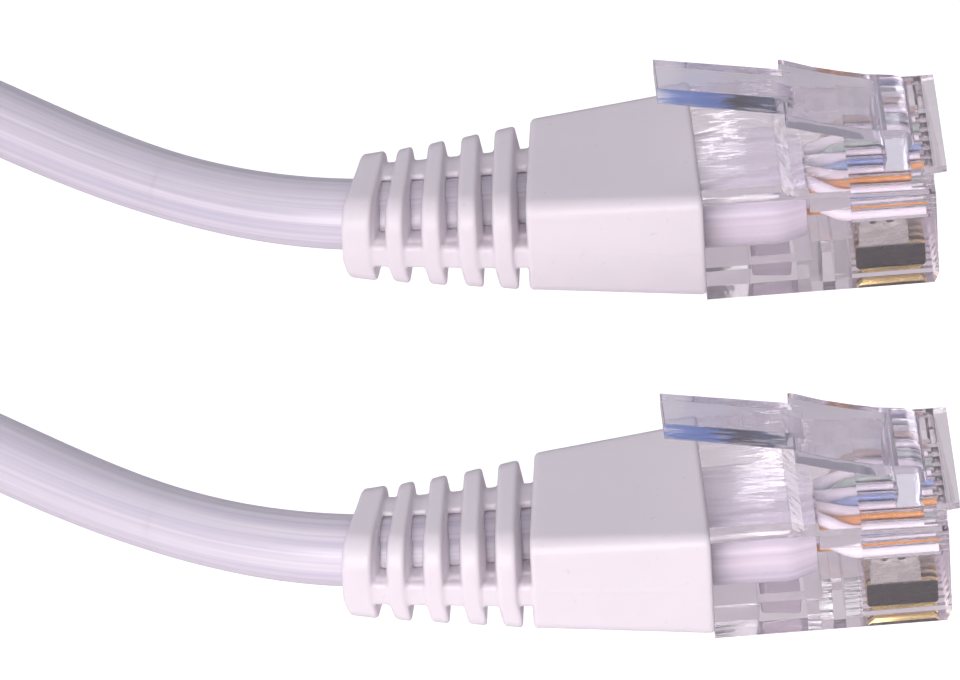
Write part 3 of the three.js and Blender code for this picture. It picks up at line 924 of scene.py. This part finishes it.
def jacket_piece(name, s0, s1, step=0.5, sides=48):
    """jacket between distances s0 and s1 of the run (negative inside plug A)"""
    n = max(4, int(math.ceil((s1 - s0) / step)))
    inset = 0.03                                    # of the extra ring at each end
    middle = np.linspace(s0, s1, n + 1)[1:-1]
    s = np.concatenate([[s0, s0 + inset], middle, [s1 - inset, s1]])
    centres, headings = at(s)
    ring = circle(sides, 1.0)
    boxy = (np.abs(ring) ** 0.55) * np.sign(ring)
    boxy = boxy / np.max(np.abs(boxy))
    outer, inner = [], []
    for q in s:
        near = min(q, RUN_LENGTH - q)               # distance from the nearer boot block
        f = float(np.interp(near - BLOCK_REAR_X, SQUASH_AT, SQUASH))
        # never perfectly round along the run, and a little thinner behind the boots
        wobble = 0.012 * math.sin(q * 0.31 + 1.3) + 0.008 * math.sin(q * 0.83)
        thin = 1 - 0.05 * math.exp(-((near - 24) / 9) ** 2)
        width, height = (lerp(JACKET_RADIUS, half, f) for half in SQUASHED_HALF)
        outer.append(lerp(ring, boxy, 0.75 * f) * [width * (1 + wobble * 0.3) * thin,
                                                   height * (1 - wobble * 0.3) * thin])
        inner.append(ring * [lerp(JACKET_BORE, half, f) for half in SQUASHED_BORE])
    return tube(name, centres, headings, np.array(outer), np.array(inner), [M_JACKET], s * 0.01)


def core_piece(name, s0, s1, step=1.2):
    """the four twisted pairs: each winds round itself, and all round the cable's centre"""
    pair_radius, twist_radius, wire_radius = 0.92, 0.31, 0.29
    n = max(4, int(math.ceil((s1 - s0) / step)))
    s = np.linspace(s0, s1, n + 1)
    centres, headings = at(s)
    left, up = frames(headings)
    sections = np.stack([circle(8, wire_radius)] * len(s))
    parts = []
    for i, wire in enumerate(WIRES):
        pair, side = i // 2, 1 if i % 2 else -1
        lay = 2 * np.pi * s / 90 + pair * np.pi / 2
        twist = 2 * np.pi * s / (11 + 1.7 * pair) + side * np.pi / 2
        a = pair_radius * np.cos(lay) + twist_radius * np.cos(twist)
        b = pair_radius * np.sin(lay) + twist_radius * np.sin(twist)
        points = centres + left * a[:, None] + up * b[:, None]
        parts.append(tube(f"tmp_{name}_{i}", points, headings, sections,
                          mats=[M_WIRE[wire]], v=s * 0.01))
    o = join(parts[0], *parts[1:])
    o.name = name
    return o


def place_cable():
    """one piece of jacket and core over each joint, following the run between its two bodies"""
    jacket_reach, core_start, blend_start = 17.7, 13.4, 11.6
    middles = [(a + b) / 2 for a, b in zip(PIVOTS, PIVOTS[1:])]

    def limits(end):
        """ends of the pieces, when the run's own ends lie this far in from the blocks"""
        return [end] + middles + [RUN_LENGTH - end]

    jacket_ends, core_ends = limits(-jacket_reach), limits(core_start)
    for i, pivot in enumerate(PIVOTS):
        nodes = [f"jacket_link_{i}" if i else "jacket_end_a"]
        if i == 8:
            nodes += ["jacket_end_b", "jacket_link_8"]
        jacket = jacket_piece(f"jacket_{i + 1}", jacket_ends[i], jacket_ends[i + 1])
        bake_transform(jacket)
        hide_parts(*nodes)
        pairs = core_piece(f"pairs_{i + 1}", core_ends[i], core_ends[i + 1])
        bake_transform(pairs)
        if i:
            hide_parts(f"pairs_link_{i}")


# ------------------------------------------------------------------ jacket clamp
CLAMP_PROFILE = [(-12.0, -3.7), (-9.5, -3.95), (-9.4, -2.75), (-11.6, -2.3), (-12.0, -2.6)]
CLAMP_WIDTH = 6.0


def clamp_shape():
    o = solid(slab(CLAMP_PROFILE, CLAMP_WIDTH))
    bevel(o, 0.15, angle=30)
    return finish_shape(o, M_CLAMP)


# ------------------------------------------------------------------ assembly
def place(master, end, name, body=None, node=None):
    """a copy of the master for this end of the cable, riding on its body when one is given"""
    o = master.copy()
    o.data = master.data.copy()
    o.name = name
    bpy.context.scene.collection.objects.link(o)
    o.data.transform(Matrix.Translation(Vector((SHIFT[end] * MM).tolist())))
    if body:
        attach(o, body)
        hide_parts(node)
    return o


def place_plug(end):
    body = f"plug_{end}"
    place(HOUSING, end, f"plug_housing_{end}", body, f"housing_{end}")
    place(CLAMP, end, f"clamp_{end}", body, f"jacket_clamp_{end}")
    place(BOOT, end, f"strain_relief_{end}", body, f"boot_{end}")
    for i, wire in enumerate(WIRES):
        blade = place(CONTACT, end, f"blade_{i + 1}_{end}")
        blade.data.transform(Matrix.Translation((0, LANE_Y[i] * MM, 0)))
        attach(blade, body)
        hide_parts(f"contact_{i + 1}_{end}")
        place(CONDUCTORS[i], end, f"wire_{i + 1}_{wire}_{end}",
              body, f"conductor_{i + 1}_{wire}_{end}")
    latch = place(LATCH, end, f"latch_arm_{end}")
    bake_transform(latch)
    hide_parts(f"latch_{end}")


CLAMP = clamp_shape()
CONDUCTORS = [conductor(i) for i in range(8)]
for plug_end in "ab":
    place_plug(plug_end)
place_cable()
for shape_master in [HOUSING, LATCH, CONTACT, BOOT, CLAMP] + CONDUCTORS:
    discard(shape_master)


# ------------------------------------------------------------------ stage, in metres
FLOOR_Z, FLOOR_HALF = -0.075, 6.0
AIM = Vector((-0.030, -0.012, 0.0))                 # the lights point here

# name, place from AIM, size, power, colour
LIGHTS = [
    ("key_front", (-0.20, -0.53, 0.19), (0.45, 0.3), 3.0, (1.0, 0.955, 0.95)),
    ("streak_1", (0.03, 0.43, 0.30), (0.30, 0.010), 0.10, (1.0, 1.0, 1.0)),
    ("streak_2", (0.16, 0.40, 0.25), (0.10, 0.016), 0.05, (1.0, 0.98, 0.95)),
]
GLINTS = [(-0.45, 0.1, 0.25), (0.42, -0.25, 0.22), (0.05, 0.12, 0.5), (-0.3, 0.35, 0.2),
          (0.35, 0.3, 0.12)]

# surroundings in mirror and clear surfaces: noise value, colour
PATCHES = [(0.0, (0.06, 0.06, 0.08)), (0.34, (0.10, 0.10, 0.13)), (0.42, (0.30, 0.29, 0.33)),
           (0.52, (0.40, 0.38, 0.43)), (0.60, (0.48, 0.46, 0.50)), (0.63, (2.6, 2.5, 2.6)),
           (1.0, (3.2, 3.1, 3.2))]

# colours across the cards: x in mm before the card's own offset, colour
TAB_BANDS = [
    (-30, (0.90, 0.87, 0.92)), (-19, (0.85, 0.83, 0.88)), (-17.6, (0.12, 0.22, 0.56)),
    (-14.2, (0.07, 0.15, 0.44)), (-13.8, (0.004, 0.004, 0.006)), (-12.6, (0.006, 0.007, 0.012)),
    (-12.2, (0.02, 0.04, 0.07)), (-10.2, (0.03, 0.06, 0.14)), (-9.7, (0.62, 0.59, 0.62)),
    (-6, (0.40, 0.37, 0.41)), (30, (0.36, 0.34, 0.37)),
]
BODY_BANDS = [
    (-30, (0.30, 0.29, 0.33)), (-15.4, (0.20, 0.19, 0.21)), (-12.4, (0.17, 0.16, 0.18)),
    (-12.0, (1.0, 0.95, 0.98)), (-9.3, (0.9, 0.86, 0.9)), (-9.0, (0.06, 0.12, 0.34)),
    (-7.9, (0.03, 0.06, 0.2)), (-7.5, (0.45, 0.42, 0.45)), (-3, (0.40, 0.37, 0.40)),
    (30, (0.36, 0.34, 0.37)),
]
BAND_HALF = 40                                      # the colour ramp spans x = -40 to 40 mm
# name, bands, offset in x, bottom and top z, in mm
CARDS = [("body_a", BODY_BANDS, 2.6, 40, 56.4), ("tab_a", TAB_BANDS, 27.0, 56.4, 68.5),
         ("body_b", BODY_BANDS, 1.6, 68.5, 81.5), ("tab_b", TAB_BANDS, 37.0, 81.5, 98)]
CARD_X, CARD_Y = (-0.04, 0.05), 0.080


def stage_quad(name, corners):
    me = bpy.data.meshes.new(name)
    me.from_pydata(corners, [], [(0, 1, 2, 3)])
    o = bpy.data.objects.new(name, me)
    bpy.context.scene.collection.objects.link(o)
    return o


def add_floor():
    """pale floor well below the cable, which stays in sight when its joints bend it down"""
    size, z = FLOOR_HALF, FLOOR_Z
    floor = stage_quad("floor", [(-size, -size, z), (size, -size, z), (size, size, z),
                                 (-size, size, z)])
    k = material("floor_pale")

    def glowing(diffuse, glow, strength):
        return k.n("ShaderNodeAddShader", {
            0: k.n("ShaderNodeBsdfDiffuse", {"Color": diffuse}),
            1: k.n("ShaderNodeEmission", {"Color": glow, "Strength": strength})})

    camera = k.n("ShaderNodeLightPath").outputs["Is Camera Ray"]
    seen = glowing((0.55, 0.55, 0.56, 1), glow=(1, 0.995, 1, 1), strength=0.82)
    other = glowing((0.34, 0.31, 0.34, 1), glow=(0.96, 0.90, 0.945, 1), strength=0.42)
    floor.data.materials.append(k.surface(k.mix_shader(camera, other, seen)))


def add_world():
    """white to the camera, an even fade along X to diffuse rays, patches to all others"""
    world = bpy.data.worlds.new("studio")
    bpy.context.scene.world = world
    k = Nodes(world, "ShaderNodeOutputWorld")
    co = k.coords("Generated")
    fade = k.ramp(k.split(co)[0], span=(-0.1, 0.9), to=(0.39, 0.13))
    even = k.n("ShaderNodeBackground", {"Color": (0.80, 0.80, 0.93, 1), "Strength": fade})
    cloud = k.noise(co, scale=5.5, detail=2.0)
    patches = k.colour_ramp(cloud, PATCHES[0][1], PATCHES[-1][1], PATCHES[1:-1])
    patchy = k.n("ShaderNodeBackground", {"Color": patches})
    white = k.n("ShaderNodeBackground", {"Color": (1, 1, 1, 1)})
    ray = k.n("ShaderNodeLightPath").outputs
    unseen = k.mix_shader(ray["Is Diffuse Ray"], patchy, even)
    k.surface(k.mix_shader(ray["Is Camera Ray"], unseen, white))


def add_light(name, offset, size, power, colour):
    light = bpy.data.lights.new(name, "AREA")
    light.shape, light.size, light.size_y = "RECTANGLE", size[0], size[1]
    light.energy, light.color = power, colour
    o = bpy.data.objects.new(name, light)
    bpy.context.scene.collection.objects.link(o)
    o.location = AIM + Vector(offset)
    o.rotation_euler = (AIM - o.location).to_track_quat("-Z", "Y").to_euler()
    o.visible_camera = False


def card_material(name, bands, offset):
    k = material(f"card_{name}")
    x, _, z = k.split(k.coords())
    position = k.math("MULTIPLY", k.add(x, (BAND_HALF - offset) * MM), 1 / 0.08, clamp=True)
    stops = [((x_mm + BAND_HALF) / (2 * BAND_HALF), colour) for x_mm, colour in bands]
    colour = k.colour_ramp(position, bands[0][1], bands[-1][1], stops)
    glow = 1.0
    if name.startswith("tab"):
        # slanting bright strips, mirrored in the housing's flat top and upper edge
        slant = k.n("ShaderNodeCombineXYZ", {0: k.add(x, k.mul(z, 0.9)), 1: 0.0, 2: z})
        strips = k.noise(slant, detail=1.5, rough=0.5, stretch=(520, 1, 150))
        between = k.mul(k.math("GREATER_THAN", x, -0.017), k.math("LESS_THAN", x, -0.001))
        lit = k.mul(k.ramp(strips, span=(0.60, 0.63)), between)
        glow = k.add(1.0, k.mul(lit, 9.0))
    return k.surface(k.n("ShaderNodeEmission", {"Color": colour, "Strength": glow}))


def add_card(name, bands, offset, bottom, top):
    """upright banded card at +Y, seen only in clear and mirror surfaces"""
    (x0, x1), y = CARD_X, CARD_Y
    card = stage_quad(f"card_{name}", [(x0, y, bottom * MM), (x1, y, bottom * MM),
                                       (x1, y, top * MM), (x0, y, top * MM)])
    card.visible_camera = card.visible_diffuse = card.visible_shadow = False
    card.data.materials.append(card_material(name, bands, offset))


def add_camera():
    """far away with a long lens, for a flat perspective"""
    azimuth, elevation, roll = (math.radians(a) for a in (-2.0, 36.3, -3.26))
    target = Vector((-29.879, -4.508, -6.84)) * MM
    distance = 1.4
    back = Vector((math.sin(azimuth) * math.cos(elevation),
                   -math.cos(azimuth) * math.cos(elevation), math.sin(elevation)))
    level = Vector((math.cos(azimuth), math.sin(azimuth), 0))
    right = level * math.cos(roll) + back.cross(level) * math.sin(roll)
    camera = bpy.data.cameras.new("camera")
    o = bpy.data.objects.new("camera", camera)
    bpy.context.scene.collection.objects.link(o)
    camera.sensor_width = 36.0
    camera.lens = 810.495
    camera.clip_start, camera.clip_end = 0.05, 20
    pose = Matrix((right, back.cross(right), back)).transposed().to_4x4()
    pose.translation = target + back * distance
    o.matrix_world = pose
    bpy.context.scene.camera = o


def set_render():
    scene = bpy.context.scene
    scene.view_settings.view_transform = "Standard"
    scene.view_settings.look = "None"
    scene.cycles.max_bounces = 20
    scene.cycles.transmission_bounces = 16
    scene.cycles.transparent_max_bounces = 16
    scene.cycles.glossy_bounces = 6
    scene.cycles.caustics_reflective = False
    scene.cycles.sample_clamp_indirect = 6.0


add_floor()
add_world()
for light_spec in LIGHTS:
    add_light(*light_spec)
for number, glint_offset in enumerate(GLINTS, 1):
    add_light(f"glint_{number}", glint_offset, size=(0.05, 0.008), power=0.03,
              colour=(1.0, 1.0, 1.0))
for card_spec in CARDS:
    add_card(*card_spec)
add_camera()
set_render()
